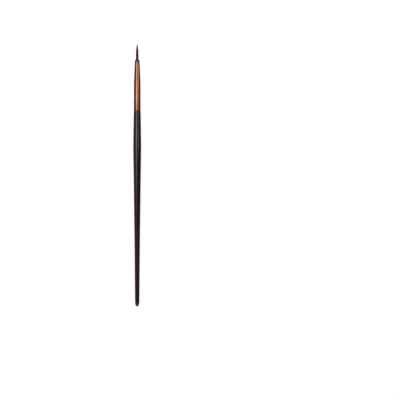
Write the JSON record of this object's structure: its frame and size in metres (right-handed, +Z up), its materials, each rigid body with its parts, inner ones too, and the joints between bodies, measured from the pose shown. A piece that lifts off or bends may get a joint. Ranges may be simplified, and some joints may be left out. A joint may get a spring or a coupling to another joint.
{
  "type": "fine detail brush",
  "caption": "Slim pointed detail brush: tapered lacquered wooden handle, copper-coloured tapered ferrule and a short fine filament tuft that flexes.",
  "frame": {"origin": "on the surface the brush lies on, under the middle of its length, with the widest part of the handle touching that surface", "axes": "+Y along the brush from the tail end towards the tip, +Z up, +X to the right when looking from the tail to the tip"},
  "size_m": [0.0052, 0.18, 0.0053],
  "materials": {
    "handle_lacquer": "dark brown gloss lacquer over turned hardwood",
    "handle_glue": "cured amber adhesive",
    "ferrule_copper": "copper-coloured satin, drawn and spun",
    "root_epoxy": "cured epoxy",
    "thread": "twisted polyester thread",
    "filament": "dark brown tapered synthetic filaments"
  },
  "bodies": {
    "brush": {"handle": "handle_lacquer", "handle_adhesive": "handle_glue", "ferrule": "ferrule_copper", "root_glue_plug": "root_epoxy", "binding_thread": "thread", "tuft_root": "filament"},
    "tuft": {"tuft_head": "filament"}
  },
  "joints": [
    {"name": "tuft_flex", "type": "hinge", "parent": "brush", "child": "tuft", "pos_m": [0, 0.0799, 0.00265], "axis": [0, 0, 1], "range_deg": [-45, 45], "stiffness_Nm_per_rad": 0.0003}
  ]
}
